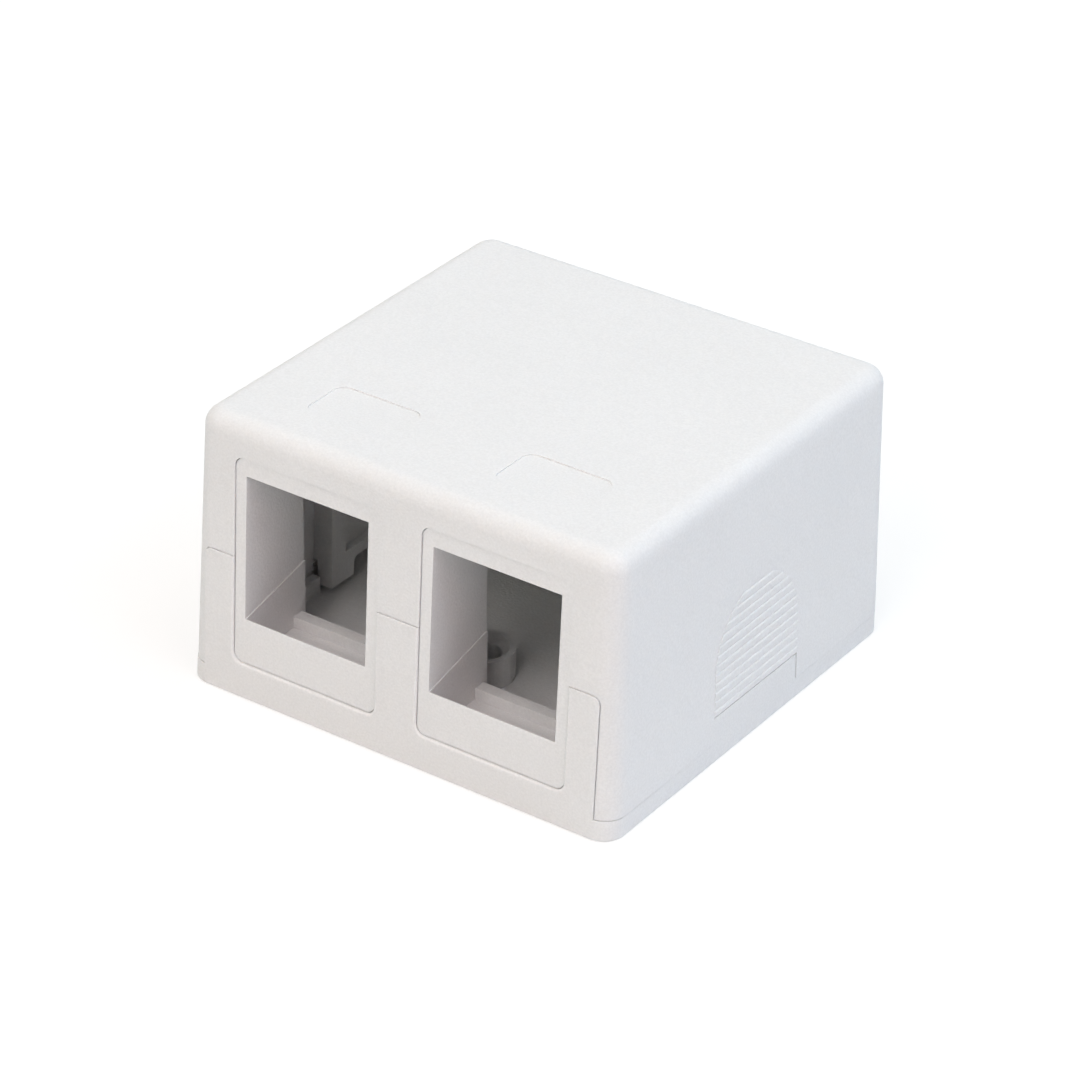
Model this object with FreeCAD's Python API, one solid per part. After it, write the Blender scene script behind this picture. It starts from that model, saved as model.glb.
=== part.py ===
"""Two-port surface mount jack box for keystone jacks, in millimetres.

A moulded base plate carries the lower half of the front panel, two drop-in port frames, catch
tabs at both sides, screw bosses and cable-tie bridges. A drafted cover with a leaning front
drops over it. Ribbed grips on the cover's sides have tongues behind them that hook on the
base's tabs: squeezing the grips bends the tongues inwards and lets the cover lift off.

Frame: +X to the right of the front, +Y to the back, +Z up, away from the wall or desk that the
base is fixed to. The origin is the centre of the base's footprint, on the fixing face.
"""
import FreeCAD
import Part

import math
import os

Vector = FreeCAD.Vector

# Plate, walls and the gaps between pieces
floor_thickness = 2.3      # base plate
wall = 2.0                 # of the cover and the front panel
seam_gap = 0.08            # between faces of two pieces that meet at a visible seam
slide_gap = 0.15           # between pieces that slide past each other on assembly
root = 0.5                 # how far a rib or post runs into the wall or plate it stands on

# Ports
port_pitch = 22.6
aperture_width = 14.9      # takes a keystone jack's face
aperture_height = 16.05
aperture_bottom = 8.95

# Port frames: a front plate in the port face and an open box behind it
frame_side = 1.25          # front plate beside the aperture
frame_sill = 4.92          # front plate below the aperture
frame_head = 1.85          # front plate above the aperture
frame_corner = 1.0
frame_recess = 0.3         # front plate behind the front panel's face
lip_depth = 1.6            # thickness of the plate that the jack's face bears on
sill_land = 0.15           # edge of the sill, before it slopes down inside
frame_depth = 10.3         # port face to the rear end of the side walls
frame_floor_thickness = 2.0
frame_roof = 1.0
heel_rib = (8.3, 1.3)      # front and height of the rib that the jack's heel drops behind
heel_bevel = 0.6           # at the rib's rear edge
latch_bar = (7.4, 9.3, 1.1)    # front, rear and drop of the bar that the jack's latch hooks over
witness_step = 0.12        # mismatch where the two mould cores shut off on the side walls
witness_rise = (0.12, 2.3)     # height of the shut-off line above the sill, front and rear

# Outer form
side_margin = 5.8          # fixing face beyond the port frames
base_depth = 50.2          # at the fixing face
head_margin = 3.75         # top of the box above the port frames
side_draft_deg = 1.6       # each side leans in
front_lean_deg = 2.5       # the port face leans back
corner_radius = 2.4        # upright corners
top_edge_radius = 2.0      # round of the top face's edges
inside_corner = 0.6        # least round of the upright corners inside
inside_edge = 0.4          # least round of the edges under the top
foot_round = 0.3           # edge of the fixing face
cover_side_step = 0.05     # the cover's sides stand out from the plate's
cover_face_step = 0.12     # the cover's front lies behind the front panel's face

# Rim on the plate that locates the cover's walls from inside
lip_height = 2.0
lip_thickness = 1.0

# Front panel of the base: the lower half of the port face
panel_inset = 2.15         # panel's ends within the fixing face's
panel_top = 15.7
panel_corner = 0.8
port_edge_round = 0.28     # edges round the port frames

# Guides whose slots take the keys at the sides of the port frames
key_depth = 0.8
key_span = (5.0, 6.6)      # along the frame's depth
guide_span = (3.4, 8.2)
guide_height = 18.7        # of the guide posts above the plate
guide_clearance = 0.6      # between the outer posts and the cover's walls

# Squeeze grips: an arch of saw-tooth ribs on each side of the cover
grip_width = 15.0
grip_centre_y = 0.5
grip_crown = 17.6          # top of the arch
tooth_pitch = 1.0
tooth_height = 0.12        # tip of a tooth above the cover's side
tooth_root = 0.02          # valley above the cover's side
first_tooth = 0.8          # first tooth's upper edge above the cover's edge over the tab

# Catch tabs of the base, and the cover's tongues that hook on them
tab_top = 5.2
tab_gap = 0.18             # between the tab's upper edge and the cover
tab_thickness = 1.5
tab_lip = (0.2, 0.5)       # bevel and depth of the lip's upper part
tongue_slot = 0.55         # between the tongue and the plane of the wall's inner face
tongue_thickness = 2.4     # from the plane of the wall's inner face inwards
tongue_floor_gap = 0.8     # above the plate
tongue_rib_width = 2.4     # ribs left at both ends of the hollow in the tongue's inner face
tongue_hollow = 0.9
tongue_web = 1.2           # between the hollow and the notch
tongue_notch = (7.4, 2.2)  # width and height of the notch that parts the two hooks
notch_corner = 0.8
hook_reach = 0.45
hook_height = 1.1
hook_bevel = 0.4
snap_gap = 0.08            # between hook and lip as the tongue passes, bent inwards

# Breakout in the cover's rear wall for the cable
breakout_width = 12.0
breakout_height = 10.5     # above the cover's lower edge
breakout_web = 0.8         # wall left inside the outline
score_width = 0.7
score_depth = 0.35

# Fixing screws
screw_pitch = 25.0
front_screw_depth = 15.2   # first screw behind the front edge of the base
screw_hole_radius = 1.9
screw_boss_radius = 3.3
screw_boss_height = 3.3    # above the plate
countersink = 0.8

# Cable-tie bridges
bridge_x = 13.0
bridge_y = 13.0
bridge_size = (8.0, 3.2, 4.2)
bridge_slot = (4.6, 2.4)
bridge_round = 1.0

# Label recesses on the top of the cover
label_width = 10.3
label_length = 6.3
label_back = 13.75         # rear edge behind the front edge of the base
label_depth = 0.15
label_corner = 1.3

# Hold-down ribs of the cover over the port frames
hold_down_width = 1.2
hold_down_length = 5.0
hold_down_height = 0.85
hold_down_spread = 9.0

over = 1.0                 # how far a cutter runs past what it cuts
frame_width = aperture_width + 2 * frame_side
frame_bottom = aperture_bottom - frame_sill
aperture_top = aperture_bottom + aperture_height
frame_top = aperture_top + frame_head
frame_floor = floor_thickness + frame_floor_thickness
base_width = port_pitch + frame_width + 2 * side_margin     # at the fixing face
box_height = frame_top + head_margin
front_y = -base_depth / 2
back_y = base_depth / 2
side_slope = math.tan(math.radians(side_draft_deg))
front_slope = math.tan(math.radians(front_lean_deg))
port_centres = (-port_pitch / 2, port_pitch / 2)
panel_width = base_width - 2 * panel_inset
cover_bottom = floor_thickness + seam_gap
cavity_top = box_height - wall
frame_body_top = cavity_top - hold_down_height - slide_gap
guide_top = floor_thickness + guide_height
grip_bottom = tab_top + tab_gap
grip_radius = grip_width / 2
tongue_bottom = floor_thickness + tongue_floor_gap
screw_boss_top = floor_thickness + screw_boss_height


def box(x0, x1, y0, y1, z0, z1):
    """A block between two values on each axis."""
    return Part.makeBox(x1 - x0, y1 - y0, z1 - z0, Vector(x0, y0, z0))


def cylinder_z(radius, x, y, z0, z1):
    return Part.makeCylinder(radius, z1 - z0, Vector(x, y, z0))


def prism_x(points, x0, x1):
    """A polygon of (y, z) points swept from x0 to x1."""
    corners = [Vector(x0, y, z) for y, z in points]
    face = Part.Face(Part.makePolygon(corners + corners[:1]))
    return face.extrude(Vector(x1 - x0, 0, 0))


def prism_y(points, y0, y1):
    """A polygon of (x, z) points swept from y0 to y1."""
    corners = [Vector(x, y0, z) for x, z in points]
    face = Part.Face(Part.makePolygon(corners + corners[:1]))
    return face.extrude(Vector(0, y1 - y0, 0))


def edges_along(shape, axis):
    """The straight edges of a shape that run along one axis."""
    found = []
    for edge in shape.Edges:
        if len(edge.Vertexes) == 2 and isinstance(edge.Curve, Part.Line):
            run = edge.Vertexes[1].Point - edge.Vertexes[0].Point
            if abs(run.normalize().dot(axis)) > 0.9999:
                found.append(edge)
    return found


def rounded_box(axis, radius, x0, x1, y0, y1, z0, z1):
    """A block with its four edges along one axis rounded."""
    block = box(x0, x1, y0, y1, z0, z1)
    return block.makeFillet(radius, edges_along(block, axis))


def mirror_x(shape):
    return shape.mirror(Vector(0, 0, 0), Vector(1, 0, 0))


def both_sides(shape):
    return [shape, mirror_x(shape)]


def half_width(z, inset=0.0):
    """Half the outer form's width at a height, less an inset measured square to the side."""
    return base_width / 2 - z * side_slope - inset / math.cos(math.radians(side_draft_deg))


def face_y(z, inset=0.0):
    """Y of the leaning port face at a height, moved back by an inset square to it."""
    return front_y + z * front_slope + inset / math.cos(math.radians(front_lean_deg))


def form(sides=0.0, face=0.0, top=0.0, bottom=0.0):
    """The drafted outer form down to a height, moved in by an inset on its sides and rear, on
    its port face and on its top."""
    crown = box_height - top
    seen_from_front = [(-half_width(bottom, sides), bottom), (half_width(bottom, sides), bottom),
                       (half_width(crown, sides), crown), (-half_width(crown, sides), crown)]
    rear = back_y - sides
    seen_from_side = [(face_y(bottom, face), bottom), (rear, bottom), (rear, crown),
                      (face_y(crown, face), crown)]
    solid = prism_y(seen_from_front, -base_depth, base_depth)
    solid = solid.common(prism_x(seen_from_side, -base_width, base_width))
    upright = [e for e in solid.Edges if e.BoundBox.ZLength > box_height / 2]
    post_radius = max(corner_radius - sides, inside_corner)
    solid = solid.makeFillet(post_radius, upright)
    rim = [e for e in solid.Edges if all(abs(v.Z - crown) < 1e-6 for v in e.Vertexes)]
    rim_radius = min(max(top_edge_radius - top, inside_edge), 0.9 * post_radius)
    return solid.makeFillet(rim_radius, rim)


def form_inside(inset, bottom=0.0):
    """The outer form moved in by one inset all round."""
    return form(inset, inset, inset, bottom)


def between(shape, z0, z1):
    """The slice of a shape between two heights."""
    return shape.common(box(-base_width, base_width, -base_depth, base_depth, z0, z1))


def frame_prism(x_centre, gap, y0, y1):
    """The outline of a port frame's front plate, grown by a gap, along Y."""
    half = frame_width / 2 + gap
    return rounded_box(Vector(0, 1, 0), frame_corner + gap, x_centre - half, x_centre + half,
                       y0, y1, frame_bottom - gap, frame_top + gap)


def front_wall():
    """The leaning slab of the front wall, through the box's whole width."""
    points = [(front_y - over, 0), (face_y(0, wall), 0), (face_y(box_height, wall), box_height),
              (front_y - over, box_height)]
    return prism_x(points, -base_width / 2, base_width / 2)


def panel_prism(gap):
    """The front panel's outline, grown by a gap. Its rear is upright, so that the cover's notch
    can slide up past the panel."""
    half = panel_width / 2 + gap
    top = panel_top + gap
    rear = face_y(panel_top, wall) + gap
    block = box(-half, half, front_y - over, rear, cover_bottom - over, top)
    upper = [e for e in edges_along(block, Vector(0, 1, 0)) if abs(e.Vertexes[0].Z - top) < 1e-6]
    return block.makeFillet(panel_corner + gap, upper)


def arch_block(width, z0, crown, y0, y1):
    """An outline with straight sides and a half-round crown, about x = 0, swept from y0 to y1."""
    radius = width / 2
    spring = crown - radius
    left = Vector(-radius, y0, spring)
    right = Vector(radius, y0, spring)
    foot_left = Vector(-radius, y0, z0)
    foot_right = Vector(radius, y0, z0)
    outline = Part.Wire([Part.Arc(left, Vector(0, y0, crown), right).toShape(),
                         Part.LineSegment(right, foot_right).toShape(),
                         Part.LineSegment(foot_right, foot_left).toShape(),
                         Part.LineSegment(foot_left, left).toShape()])
    return Part.Face(outline).extrude(Vector(0, y1 - y0, 0))


def grip_teeth():
    """The saw-tooth ribs of the right-hand grip: each leans out upwards and ends in a ledge, and
    the row is cut off by the grip's arch."""
    surface = -cover_side_step
    count = 1 + int((grip_crown - grip_bottom - first_tooth) / tooth_pitch)
    outline = [(half_width(grip_bottom, surface) + tooth_root, grip_bottom)]
    for i in range(count):
        z = grip_bottom + first_tooth + i * tooth_pitch
        tip = z - tooth_height
        outline += [(half_width(tip, surface) + tooth_height, tip),
                    (half_width(z, surface) + tooth_root, z)]
    top = outline[-1][1]
    outline += [(half_width(top, wall / 2), top), (half_width(grip_bottom, wall / 2), grip_bottom)]
    y0 = grip_centre_y - grip_radius - over
    y1 = grip_centre_y + grip_radius + over
    arch = arch_block(grip_width, grip_bottom, grip_crown, -base_width, base_width)
    arch.rotate(Vector(0, 0, 0), Vector(0, 0, 1), 90)
    arch.translate(Vector(0, grip_centre_y, 0))
    return prism_y(outline, y0, y1).common(arch)


def tab_notch():
    """The notch in the cover's right-hand wall that the base's catch tab fills."""
    half = grip_radius + seam_gap
    return box(half_width(grip_bottom, 2 * wall), base_width, grip_centre_y - half,
               grip_centre_y + half, 0, grip_bottom)


def tongue_inner_x(z):
    return half_width(z, wall + tongue_thickness)


def tongue_outer_x():
    """The plane of the tongue's outer face, below the wall that it hangs from."""
    return half_width(grip_bottom, wall + tongue_slot)


def catch_tab():
    """The right-hand catch tab: its outer face lies in the plate's side, its lip looks in."""
    low = floor_thickness / 2
    bevel, depth = tab_lip
    inner = half_width(tab_top) - tab_thickness
    tip = tongue_outer_x() + hook_reach + snap_gap
    under = tab_top - depth - max(inner - tip, 0)
    points = [(half_width(low), low), (half_width(tab_top), tab_top), (tip, tab_top - bevel),
              (tip, tab_top - depth), (inner, under), (inner, low)]
    return prism_y(points, grip_centre_y - grip_radius, grip_centre_y + grip_radius)


def tongue():
    """The right-hand tongue: a pillar on the wall's inner face with a hollow between two ribs.
    It hangs down past the tab, and the notch in its lower edge leaves two hooks that look out."""
    y0 = grip_centre_y - grip_radius
    y1 = grip_centre_y + grip_radius
    top = cavity_top + wall / 2
    upper = tongue_bottom + tongue_notch[1] + tongue_web / 2
    outer = tongue_outer_x()
    points = [(half_width(top, wall / 2), top), (tongue_inner_x(top), top),
              (tongue_inner_x(tongue_bottom), tongue_bottom), (outer, tongue_bottom),
              (outer + hook_reach, tongue_bottom + hook_bevel),
              (outer + hook_reach, tongue_bottom + hook_height - hook_reach),
              (outer, tongue_bottom + hook_height), (outer, upper),
              (half_width(upper, wall / 2), upper)]
    pillar = prism_y(points, y0, y1)
    reach = tongue_inner_x(top) - over
    foot = tongue_bottom + tongue_notch[1] + tongue_web
    hollow = [(reach, foot), (reach, cavity_top),
              (tongue_inner_x(cavity_top) + tongue_hollow, cavity_top),
              (tongue_inner_x(foot) + tongue_hollow, foot)]
    pillar = pillar.cut(prism_y(hollow, y0 + tongue_rib_width, y1 - tongue_rib_width))
    notch_width, notch_height = tongue_notch
    notch = rounded_box(Vector(1, 0, 0), notch_corner, reach, outer + hook_reach + slide_gap,
                        grip_centre_y - notch_width / 2, grip_centre_y + notch_width / 2,
                        tongue_bottom - 2 * over, tongue_bottom + notch_height)
    return pillar.cut(notch)


def breakout():
    """What the rear breakout takes from the cover: a score round its outline outside, and a
    pocket that thins the wall inside."""
    top = cover_bottom + breakout_height
    foot = cover_bottom - over
    inner = arch_block(breakout_width, foot, top, back_y - 2 * wall, back_y - breakout_web)
    ring = arch_block(breakout_width, foot, top, back_y - score_depth, back_y + over)
    core = arch_block(breakout_width - 2 * score_width, foot - over, top - score_width,
                      back_y - wall, back_y + 2 * over)
    return [inner, ring.cut(core)]


def locating_lip():
    """The rim on the plate that stands just inside the cover's side and rear walls."""
    outer = form_inside(wall + slide_gap)
    inner = form_inside(wall + slide_gap + lip_thickness)
    ring = between(outer.cut(inner), floor_thickness - root, floor_thickness + lip_height)
    front_clear = front_y + guide_span[1]
    ring = ring.common(box(-base_width, base_width, front_clear, base_depth, 0, box_height))
    half = grip_radius + 2 * slide_gap
    return ring.cut(box(-base_width, base_width, grip_centre_y - half, grip_centre_y + half,
                        0, box_height))


def guides():
    """Posts behind the front panel with slots that the port frames' keys drop into."""
    y0 = front_y + guide_span[0]
    y1 = front_y + guide_span[1]
    z0 = floor_thickness - root
    inner_half = port_pitch / 2 - frame_width / 2 - slide_gap
    centre = box(-inner_half, inner_half, y0, y1, z0, guide_top)
    start = port_pitch / 2 + frame_width / 2 + slide_gap
    end = half_width(guide_top, wall) - guide_clearance
    outer = box(start, end, y0, y1, z0, guide_top)
    link_y = front_y + wall
    link_top = panel_top - panel_corner
    link_end = min(end, panel_width / 2) - panel_corner
    link = box(start, link_end, link_y, y0 + root, z0, link_top)
    centre_link = box(-inner_half, inner_half, link_y, y0 + root, z0, link_top)
    posts = centre.fuse([outer, mirror_x(outer), link, mirror_x(link), centre_link])
    slots = []
    for x in port_centres:
        half = frame_width / 2 + key_depth + 2 * slide_gap
        slots.append(box(x - half, x + half, front_y + key_span[0] - slide_gap,
                         front_y + key_span[1] + slide_gap, floor_thickness, box_height))
    return posts.cut(Part.Compound(slots))


def frame_space():
    """The room that the port frames' bodies take behind the front panel."""
    rooms = []
    for x in port_centres:
        half = frame_width / 2 + slide_gap
        rooms.append(box(x - half, x + half, front_y + wall, front_y + frame_depth + slide_gap,
                         floor_thickness, box_height))
    return rooms


def screw_boss(y):
    return cylinder_z(screw_boss_radius, 0, y, floor_thickness - root, screw_boss_top)


def screw_hole(y):
    """A through hole with a countersink for the screw's head."""
    hole = cylinder_z(screw_hole_radius, 0, y, -over, screw_boss_top + over)
    sink = Part.makeCone(screw_hole_radius, screw_hole_radius + countersink + over,
                         countersink + over, Vector(0, y, screw_boss_top - countersink))
    return hole.fuse(sink)


def screw_places():
    first = front_y + front_screw_depth
    return [first, first + screw_pitch]


def tie_bridge(x):
    """A bridge on the floor that a cable tie threads under."""
    length, breadth, height = bridge_size
    slot_length, slot_height = bridge_slot
    z0 = floor_thickness - root
    body = box(x - length / 2, x + length / 2, bridge_y - breadth / 2, bridge_y + breadth / 2,
               z0, floor_thickness + height)
    upper = [e for e in edges_along(body, Vector(0, 1, 0)) if e.Vertexes[0].Z > floor_thickness]
    body = body.makeFillet(bridge_round, upper)
    slot = box(x - slot_length / 2, x + slot_length / 2, bridge_y - breadth, bridge_y + breadth,
               floor_thickness, floor_thickness + slot_height)
    return body.cut(slot)


def on_port_face(edge):
    """True if an edge lies on the leaning port face."""
    middle = edge.valueAt((edge.FirstParameter + edge.LastParameter) / 2)
    points = [v.Point for v in edge.Vertexes] + [middle]
    return all(abs(p.y - face_y(p.z)) < 1e-4 for p in points)


def beside_port(edge):
    """True if an edge lies on a port opening's outline, below the panel's upper edge."""
    middle = edge.valueAt((edge.FirstParameter + edge.LastParameter) / 2)
    half = frame_width / 2 + seam_gap
    across = abs(abs(middle.x) - port_pitch / 2) < half + 1e-3
    return across and frame_bottom - 2 * seam_gap < middle.z < panel_top - 1e-3


def front_panel():
    """The panel with the port openings' lower halves, its edges round them rounded."""
    panel = form().common(panel_prism(0)).common(front_wall())
    panel = between(panel, cover_bottom - root, panel_top + over)
    for x in port_centres:
        panel = panel.cut(frame_prism(x, seam_gap, front_y - over, front_y + 2 * wall))
    panel = panel.removeSplitter()
    rounded = [e for e in panel.Edges if on_port_face(e) and beside_port(e)]
    return panel.makeFillet(port_edge_round, rounded)


def make_base():
    plate = between(form(), 0, floor_thickness)
    foot = [e for e in plate.Edges if all(abs(v.Z) < 1e-6 for v in e.Vertexes)]
    plate = plate.makeFillet(foot_round, foot)
    parts = [front_panel(), locating_lip(), guides()]
    parts += both_sides(catch_tab())
    parts += [screw_boss(y) for y in screw_places()]
    parts += [tie_bridge(bridge_x), tie_bridge(-bridge_x)]
    body = plate.fuse(parts).removeSplitter()
    cuts = frame_space()
    cuts += [screw_hole(y) for y in screw_places()]
    for cut in cuts:
        body = body.cut(cut)
    return body.removeSplitter()


def make_cover():
    outside = form(-cover_side_step, cover_face_step)
    shell = between(outside.cut(form_inside(wall, -over)), cover_bottom, box_height + over)
    cuts = [panel_prism(seam_gap)]
    cuts += [frame_prism(x, seam_gap, front_y - over, front_y + 2 * wall) for x in port_centres]
    cuts += breakout()
    cuts += both_sides(tab_notch())
    cuts += label_recesses()
    for cut in cuts:
        shell = shell.cut(cut)
    for rib in hold_downs() + both_sides(tongue()) + both_sides(grip_teeth()):
        shell = shell.fuse(rib)
    return shell.removeSplitter()


def label_recesses():
    """Shallow recesses for port labels on the top, one behind each port."""
    found = []
    back = front_y + label_back
    for x in port_centres:
        found.append(rounded_box(Vector(0, 0, 1), label_corner, x - label_width / 2,
                                 x + label_width / 2, back - label_length, back,
                                 box_height - label_depth, box_height + over))
    return found


def hold_downs():
    """Short ribs under the cover's top that keep the port frames down."""
    ribs = []
    y0 = front_y + frame_depth - hold_down_length
    for x in port_centres:
        for side in (-1, 1):
            middle = x + side * hold_down_spread / 2
            ribs.append(box(middle - hold_down_width / 2, middle + hold_down_width / 2,
                            y0, y0 + hold_down_length, cavity_top - hold_down_height,
                            cavity_top + root))
    return ribs


def frame_pocket():
    """The inside of a port frame seen from its side, as (y, z) points: floor, roof, the back of
    the front plate, and the sill's slope down from its narrow land."""
    end = front_y + frame_depth + over
    roof = frame_body_top - frame_roof
    land = frame_recess + sill_land
    depth = frame_recess + lip_depth
    slope_foot = aperture_bottom - (lip_depth - sill_land)
    return [(face_y(frame_floor, depth), frame_floor), (end, frame_floor), (end, roof),
            (face_y(roof, depth), roof), (face_y(aperture_bottom, depth), aperture_bottom),
            (face_y(aperture_bottom, land), aperture_bottom),
            (face_y(slope_foot, depth), slope_foot)]


def witness_wedge():
    """The raised lower part of a frame's side walls seen from the side, as (y, z) points. Its
    sloping upper edge is where the two mould cores shut off."""
    end = front_y + frame_depth
    land = face_y(aperture_bottom, frame_recess + sill_land)
    back = face_y(frame_floor, frame_recess + lip_depth)
    sunk = frame_floor_thickness / 4
    return [(land, aperture_bottom + witness_rise[0]), (land - sunk / 4, aperture_bottom - sunk),
            (back - sunk / 4, frame_floor), (back + sunk, frame_floor - sunk),
            (end, frame_floor - sunk), (end, aperture_bottom + witness_rise[1])]


def frame_keys(x):
    """The keys at a port frame's sides that slide down into the guides' slots."""
    inside = frame_width / 2 - frame_side / 2
    outside = frame_width / 2 + key_depth
    y0 = front_y + key_span[0]
    y1 = front_y + key_span[1]
    return [box(x - outside, x - inside, y0, y1, floor_thickness, guide_top),
            box(x + inside, x + outside, y0, y1, floor_thickness, guide_top)]


def frame_bars(x):
    """The heel rib across a port frame's floor and the latch bar under its roof."""
    half = aperture_width / 2 + frame_side / 2
    end = front_y + frame_depth
    rib_front, rib_height = heel_rib
    top = frame_floor + rib_height
    rib = [(front_y + rib_front, frame_floor - root), (end, frame_floor - root),
           (end, top - heel_bevel), (end - heel_bevel, top), (front_y + rib_front, top)]
    bar_front, bar_rear, drop = latch_bar
    roof = frame_body_top - frame_roof
    bar = box(x - half, x + half, front_y + bar_front, front_y + bar_rear, roof - drop,
              roof + frame_roof / 2)
    return [prism_x(rib, x - half, x + half), bar]


def make_port_frame(x):
    """One port frame: a front plate in the port face, and the open box behind it that a jack
    snaps into."""
    half = frame_width / 2
    inner = aperture_width / 2
    end = front_y + frame_depth
    face = form()
    face.translate(Vector(0, frame_recess, 0))
    plate = face.common(frame_prism(x, 0, front_y - over, front_y + 2 * wall))
    block = box(x - half, x + half, front_y, end, floor_thickness, frame_body_top)
    body = plate.fuse([form_inside(wall + slide_gap).common(block)] + frame_keys(x))
    body = body.cut(box(x - inner, x + inner, front_y - over, end + over, aperture_bottom,
                        aperture_top))
    body = body.cut(prism_x(frame_pocket(), x - inner, x + inner))
    body = body.fuse(frame_bars(x))
    wedge = witness_wedge()
    sides = [prism_x(wedge, x - inner - frame_side / 4, x - inner + witness_step),
             prism_x(wedge, x + inner - witness_step, x + inner + frame_side / 4)]
    return body.fuse(sides).removeSplitter()


def main():
    os.makedirs("parts", exist_ok=True)
    pieces = {
        "base": make_base(),
        "cover": make_cover(),
        "port_frame_left": make_port_frame(port_centres[0]),
        "port_frame_right": make_port_frame(port_centres[1]),
    }
    for name, shape in pieces.items():
        shape.exportStep(os.path.join("parts", name + ".step"))
        size = shape.BoundBox
        print(name, "solids", len(shape.Solids), "valid", shape.isValid(),
              "volume %.1f" % shape.Volume,
              "size %.2f %.2f %.2f" % (size.XLength, size.YLength, size.ZLength))


main()
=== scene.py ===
"""Looks of the two-port surface mount jack box: moulded plastic, plain floor, soft light."""
import math

import bpy
from mathutils import Matrix, Vector


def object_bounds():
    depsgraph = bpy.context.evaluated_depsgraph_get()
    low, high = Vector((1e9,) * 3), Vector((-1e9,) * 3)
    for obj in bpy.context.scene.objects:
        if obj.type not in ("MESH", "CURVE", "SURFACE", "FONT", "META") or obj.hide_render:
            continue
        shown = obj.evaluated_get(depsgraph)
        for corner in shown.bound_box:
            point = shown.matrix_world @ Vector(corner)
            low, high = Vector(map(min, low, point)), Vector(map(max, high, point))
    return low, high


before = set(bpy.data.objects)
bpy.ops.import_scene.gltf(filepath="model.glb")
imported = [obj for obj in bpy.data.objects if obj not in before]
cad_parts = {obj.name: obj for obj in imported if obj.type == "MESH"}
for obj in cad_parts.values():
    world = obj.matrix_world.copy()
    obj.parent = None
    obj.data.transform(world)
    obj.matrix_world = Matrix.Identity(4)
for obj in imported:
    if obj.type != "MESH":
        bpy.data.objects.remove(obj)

cad_low, cad_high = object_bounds()

MM = 0.001
WHITE = (1.0, 1.0, 1.0, 1.0)


def direction(azimuth, elevation):
    """The unit vector away from the object, from degrees. Azimuth 0 is in front of the ports,
    90 to the right."""
    turn, rise = math.radians(azimuth), math.radians(elevation)
    return Vector((math.sin(turn) * math.cos(rise), -math.cos(turn) * math.cos(rise),
                   math.sin(rise)))


# --- Nodes -----------------------------------------------------------------------------------

def put(tree, value, socket):
    """Gives an input a value, or links it from another node's output."""
    if isinstance(value, bpy.types.NodeSocket):
        tree.links.new(value, socket)
    else:
        socket.default_value = value


def node(tree, kind, **inputs):
    """Adds a shader node and sets its inputs by name."""
    made = tree.nodes.new(kind)
    for name, value in inputs.items():
        put(tree, value, made.inputs[name.replace("_", " ")])
    return made


def maths(tree, operation, *values):
    """A Math node's result."""
    made = tree.nodes.new("ShaderNodeMath")
    made.operation = operation
    for socket, value in zip(made.inputs, values):
        put(tree, value, socket)
    return made.outputs[0]


def ramp(tree, factor, stops):
    """A colour ramp from (position, grey or colour) stops."""
    made = tree.nodes.new("ShaderNodeValToRGB")
    tree.links.new(factor, made.inputs["Fac"])
    elements = made.color_ramp.elements
    while len(elements) < len(stops):
        elements.new(0.5)
    for element, (position, colour) in zip(elements, stops):
        if not isinstance(colour, tuple):
            colour = (colour, colour, colour)
        element.position = position
        element.color = (*colour, 1.0)
    return made.outputs["Color"]


def multiplied(tree, first, second):
    """Two colours multiplied channel by channel."""
    mix = tree.nodes.new("ShaderNodeMix")
    mix.data_type = "RGBA"
    mix.blend_type = "MULTIPLY"
    mix.inputs["Factor"].default_value = 1.0
    tree.links.new(first, mix.inputs["A"])
    tree.links.new(second, mix.inputs["B"])
    return mix.outputs["Result"]


def scaled(colour, factor):
    return tuple(channel * factor for channel in colour)


# --- Plastic ---------------------------------------------------------------------------------
# Texture scales are in features per metre.

PLASTIC_WHITE = (0.81, 0.81, 0.81)
SPECULAR_LEVEL = 0.42
SUBSURFACE_WEIGHT = 0.7
SUBSURFACE_RADIUS = (1.0, 0.95, 0.9)
SUBSURFACE_SCALE = 0.35 * MM

CLOUD_SCALE, CLOUD_DARKEST = 90.0, 0.985
SPECK_SCALE, SPECK_DARKEST = 4200.0, 0.935
POLISH_SCALE, POLISHED, UNPOLISHED = 45.0, 0.58, 0.68
GRAIN_SCALE, GRAIN_STRENGTH, GRAIN_DEPTH = 3800.0, 0.8, 0.045 * MM
PIT_SCALE, PIT_STRENGTH, PIT_DEPTH = 3400.0, 0.6, 0.035 * MM

# The grips, as in the CAD: an arch of saw teeth in each side of the cover.
GRIP_Y = 0.5 * MM
GRIP_HALF_WIDTH = 7.4 * MM      # just inside the arch's edge
GRIP_CROWN = 17.5 * MM
GRIP_FOOT = 5.4 * MM
GRIP_LEAST_X = 25.0 * MM        # between the wall's inner and outer face
TOOTH_PITCH = 1.0 * MM
TOOTH_FOOT = 5.18 * MM          # where the lowest tooth starts
TOOTH_ROUND = 0.05 * MM
TOOTH_CREASE, TOOTH_CROWN = 0.10, 0.62  # the round's start and end, as shares of the pitch


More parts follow.
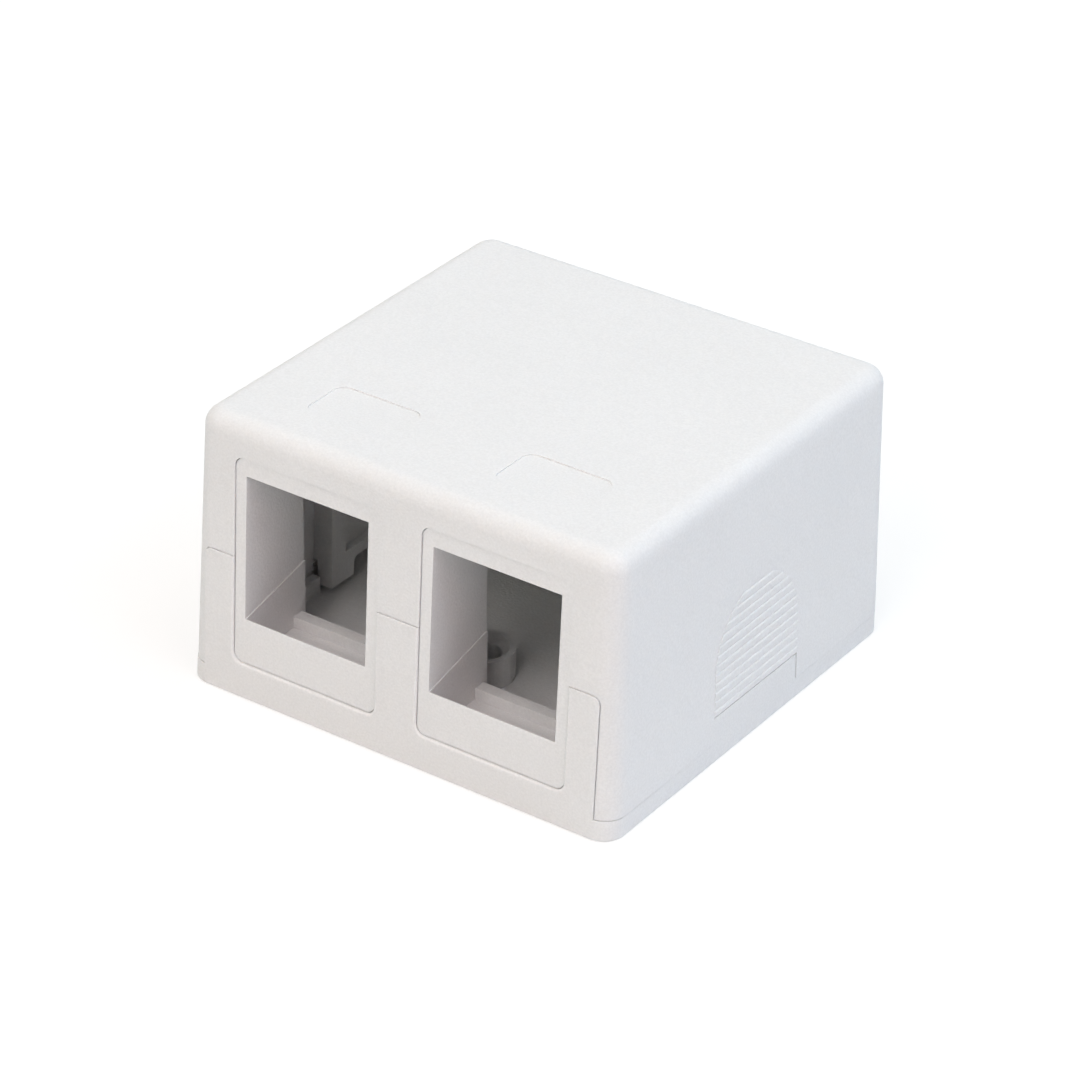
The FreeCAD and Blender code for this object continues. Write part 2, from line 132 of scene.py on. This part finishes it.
def inside_grip(tree, axes):
    """1 on the outside of a grip's arch, 0 elsewhere."""
    across = maths(tree, "SUBTRACT", axes["Y"], GRIP_Y)
    spring = maths(tree, "SUBTRACT", axes["Z"], GRIP_CROWN - GRIP_HALF_WIDTH)
    upward = maths(tree, "MAXIMUM", spring, 0.0)
    squares = maths(tree, "ADD", maths(tree, "MULTIPLY", across, across),
                    maths(tree, "MULTIPLY", upward, upward))
    arch = maths(tree, "LESS_THAN", maths(tree, "SQRT", squares), GRIP_HALF_WIDTH)
    above = maths(tree, "GREATER_THAN", axes["Z"], GRIP_FOOT)
    outer = maths(tree, "GREATER_THAN", maths(tree, "ABSOLUTE", axes["X"]), GRIP_LEAST_X)
    return maths(tree, "MULTIPLY", arch, maths(tree, "MULTIPLY", above, outer))


def grip_ribs(tree, normal):
    """Rounds the upper edges of the grips' saw teeth in the shading."""
    place = tree.nodes.new("ShaderNodeTexCoord").outputs["Object"]
    axes = node(tree, "ShaderNodeSeparateXYZ", Vector=place).outputs
    count = maths(tree, "DIVIDE", maths(tree, "SUBTRACT", axes["Z"], TOOTH_FOOT), TOOTH_PITCH)
    profile = ramp(tree, maths(tree, "FRACT", count),
                   [(0.0, 0.0), (TOOTH_CREASE, 1.0), (TOOTH_CROWN, 1.0), (1.0, 0.0)])
    height = maths(tree, "MULTIPLY", profile, inside_grip(tree, axes))
    return node(tree, "ShaderNodeBump", Height=height, Strength=1.0, Distance=TOOTH_ROUND,
                Normal=normal).outputs["Normal"]


def moulded_plastic(name, shift, ribbed=False):
    """White matte plastic off a fine spark-eroded mould: a faint cloudy tone with a fine speck,
    uneven polish in the roughness, and an even grain of noise and pits in the bump."""
    material = bpy.data.materials.new(name)
    material.use_nodes = True
    tree = material.node_tree
    shader = tree.nodes["Principled BSDF"]
    shader.inputs["Specular IOR Level"].default_value = SPECULAR_LEVEL
    shader.inputs["Subsurface Weight"].default_value = SUBSURFACE_WEIGHT
    shader.inputs["Subsurface Radius"].default_value = SUBSURFACE_RADIUS
    shader.inputs["Subsurface Scale"].default_value = SUBSURFACE_SCALE

    place = tree.nodes.new("ShaderNodeTexCoord").outputs["Object"]
    place = node(tree, "ShaderNodeMapping", Vector=place,
                 Location=(shift, 2 * shift, 0.0)).outputs["Vector"]

    cloud = node(tree, "ShaderNodeTexNoise", Vector=place, Scale=CLOUD_SCALE, Detail=3.0)
    speck = node(tree, "ShaderNodeTexNoise", Vector=place, Scale=SPECK_SCALE, Detail=2.0)
    broad = ramp(tree, cloud.outputs["Fac"],
                 [(0.3, scaled(PLASTIC_WHITE, CLOUD_DARKEST)), (0.7, PLASTIC_WHITE)])
    fine = ramp(tree, speck.outputs["Fac"], [(0.3, SPECK_DARKEST), (0.7, 1.0)])
    tree.links.new(multiplied(tree, broad, fine), shader.inputs["Base Color"])

    polish = node(tree, "ShaderNodeTexNoise", Vector=place, Scale=POLISH_SCALE, Detail=4.0)
    gloss = ramp(tree, polish.outputs["Fac"], [(0.35, POLISHED), (0.65, UNPOLISHED)])
    tree.links.new(gloss, shader.inputs["Roughness"])

    grain = node(tree, "ShaderNodeTexNoise", Vector=place, Scale=GRAIN_SCALE, Detail=3.0)
    pits = node(tree, "ShaderNodeTexVoronoi", Vector=place, Scale=PIT_SCALE)
    rough = node(tree, "ShaderNodeBump", Height=grain.outputs["Fac"],
                 Strength=GRAIN_STRENGTH, Distance=GRAIN_DEPTH)
    pitted = node(tree, "ShaderNodeBump", Height=pits.outputs["Distance"],
                  Strength=PIT_STRENGTH, Distance=PIT_DEPTH, Normal=rough.outputs["Normal"])
    normal = pitted.outputs["Normal"]
    if ribbed:
        normal = grip_ribs(tree, normal)
    tree.links.new(normal, shader.inputs["Normal"])
    return material


def dress(material, *names):
    """Gives CAD nodes one material on all their slots."""
    for name in names:
        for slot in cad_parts[name].material_slots:
            slot.link = "OBJECT"
            slot.material = material


def dress_all():
    """The same plastic on each moulding, with the textures shifted so that none repeats."""
    dress(moulded_plastic("cover_plastic", 0.0, ribbed=True), "cover")
    dress(moulded_plastic("base_plastic", 3.1), "base")
    dress(moulded_plastic("port_frame_plastic", 7.7), "port_frame_left", "port_frame_right")


# --- Stage -----------------------------------------------------------------------------------

FLOOR_SIZE = 4.0
FLOOR_GAP = 0.02 * MM           # from the base down to the floor
CARD_WHITE = (0.9, 0.9, 0.9, 1.0)
PAPER_WHITE = (0.46, 0.46, 0.46, 1.0)
OWN_WHITE = {"From Min": 0.10, "From Max": 0.60, "To Min": 0.58, "To Max": 1.0}
WORLD_LIGHT = 0.02


def seen(tree):
    """1 for what the camera, reflections and refractions see, 0 for light on its way."""
    path = tree.nodes.new("ShaderNodeLightPath").outputs
    other = maths(tree, "MAXIMUM", path["Is Glossy Ray"], path["Is Transmission Ray"])
    return maths(tree, "MAXIMUM", path["Is Camera Ray"], other)


def mixed(tree, factor, first, second):
    """A Mix Shader's output from two nodes."""
    mix = node(tree, "ShaderNodeMixShader", Fac=factor)
    tree.links.new(first.outputs[0], mix.inputs[1])
    tree.links.new(second.outputs[0], mix.inputs[2])
    return mix.outputs[0]


def make_world():
    """Nearly dark for the light, so that the soft boxes shape it, and plain white where seen."""
    world = bpy.data.worlds.new("studio")
    bpy.context.scene.world = world
    world.use_nodes = True
    tree = world.node_tree
    tree.nodes.clear()
    light = node(tree, "ShaderNodeBackground", Color=WHITE, Strength=WORLD_LIGHT)
    plain = node(tree, "ShaderNodeBackground", Color=WHITE, Strength=1.0)
    node(tree, "ShaderNodeOutputWorld", Surface=mixed(tree, seen(tree), light, plain))


def floor_paper():
    """Returns light as white card does, and is seen as white paper that keeps the object's
    shadow: part of its white is its own, by OWN_WHITE more so further out."""
    material = bpy.data.materials.new("floor_paper")
    material.use_nodes = True
    tree = material.node_tree
    tree.nodes.clear()
    card = node(tree, "ShaderNodeBsdfDiffuse", Color=CARD_WHITE)
    paper = node(tree, "ShaderNodeBsdfDiffuse", Color=PAPER_WHITE)
    place = tree.nodes.new("ShaderNodeTexCoord").outputs["Object"]
    reach = node(tree, "ShaderNodeVectorMath", Vector=place)
    reach.operation = "LENGTH"
    outward = node(tree, "ShaderNodeMapRange", Value=reach.outputs["Value"])
    for name, value in OWN_WHITE.items():
        outward.inputs[name].default_value = value
    own = node(tree, "ShaderNodeEmission", Color=WHITE, Strength=outward.outputs["Result"])
    both = tree.nodes.new("ShaderNodeAddShader")
    tree.links.new(paper.outputs[0], both.inputs[0])
    tree.links.new(own.outputs[0], both.inputs[1])
    node(tree, "ShaderNodeOutputMaterial", Surface=mixed(tree, seen(tree), card, both))
    return material


def make_floor():
    """A wide pale floor just under the base."""
    bpy.ops.mesh.primitive_plane_add(size=FLOOR_SIZE, location=(0, 0, cad_low.z - FLOOR_GAP))
    floor = bpy.context.object
    floor.name = "floor"
    floor.data.materials.append(floor_paper())


# --- Light -----------------------------------------------------------------------------------

LAMP_TARGET = Vector((0.0, 0.0, 15.0)) * MM
LAMP_DISTANCE = 0.9
# A box overhead, a warm key over the front, cooler light from the right and behind, and a
# little from the left: name, azimuth, elevation, side in metres, watts, colour.
LAMPS = [
    ("top_box", 0, 90, 0.8, 3.39, (1.0, 0.945, 0.865)),
    ("front_box", 0, 45, 0.6, 3.67, (1.0, 0.905, 0.89)),
    ("front_low_box", 0, 20, 0.6, 0.75, (0.855, 1.0, 0.78)),
    ("right_box", 70, 30, 0.6, 1.8, (1.0, 0.734, 0.755)),
    ("right_high_box", 95, 50, 0.6, 1.64, (0.497, 0.833, 1.0)),
    ("rear_right_box", 135, 35, 0.6, 2.22, (0.666, 0.854, 1.0)),
    ("rear_box", 180, 55, 0.7, 0.56, (1.0, 1.0, 1.0)),
    ("left_box", -90, 40, 0.6, 1.17, (1.0, 1.0, 1.0)),
]


def soft_box(name, azimuth, elevation, size, power, colour):
    """A square lamp that faces the object."""
    data = bpy.data.lights.new(name, "AREA")
    data.shape = "SQUARE"
    data.size = size
    data.energy = power
    data.color = colour
    lamp = bpy.data.objects.new(name, data)
    away = direction(azimuth, elevation)
    lamp.location = LAMP_TARGET + away * LAMP_DISTANCE
    lamp.rotation_mode = "QUATERNION"
    lamp.rotation_quaternion = (-away).to_track_quat("-Z", "Y")
    bpy.context.scene.collection.objects.link(lamp)


def make_lights():
    for lamp in LAMPS:
        soft_box(*lamp)


# --- Camera ----------------------------------------------------------------------------------

CAMERA_TARGET = Vector((1.94, -3.07, 15.3)) * MM
CAMERA_AZIMUTH, CAMERA_ELEVATION, CAMERA_ROLL = 34.476, 30.518, 1.077
CAMERA_DISTANCE = 0.43
LENS, SENSOR = 143.73, 36.0
CLIP_START, CLIP_END = 0.05, 20.0


def make_camera():
    """A long lens from the right and above the port face, with a slight roll."""
    data = bpy.data.cameras.new("camera")
    data.sensor_width = SENSOR
    data.lens = LENS
    data.clip_start = CLIP_START
    data.clip_end = CLIP_END
    camera = bpy.data.objects.new("camera", data)
    back = direction(CAMERA_AZIMUTH, CAMERA_ELEVATION)
    aim = (-back).to_track_quat("-Z", "Y").to_matrix().to_4x4()
    place = Matrix.Translation(CAMERA_TARGET + back * CAMERA_DISTANCE)
    camera.matrix_world = place @ aim @ Matrix.Rotation(math.radians(CAMERA_ROLL), 4, "Z")
    bpy.context.scene.collection.objects.link(camera)
    bpy.context.scene.camera = camera


dress_all()
make_world()
make_floor()
make_lights()
make_camera()
bpy.context.scene.view_settings.view_transform = "Standard"
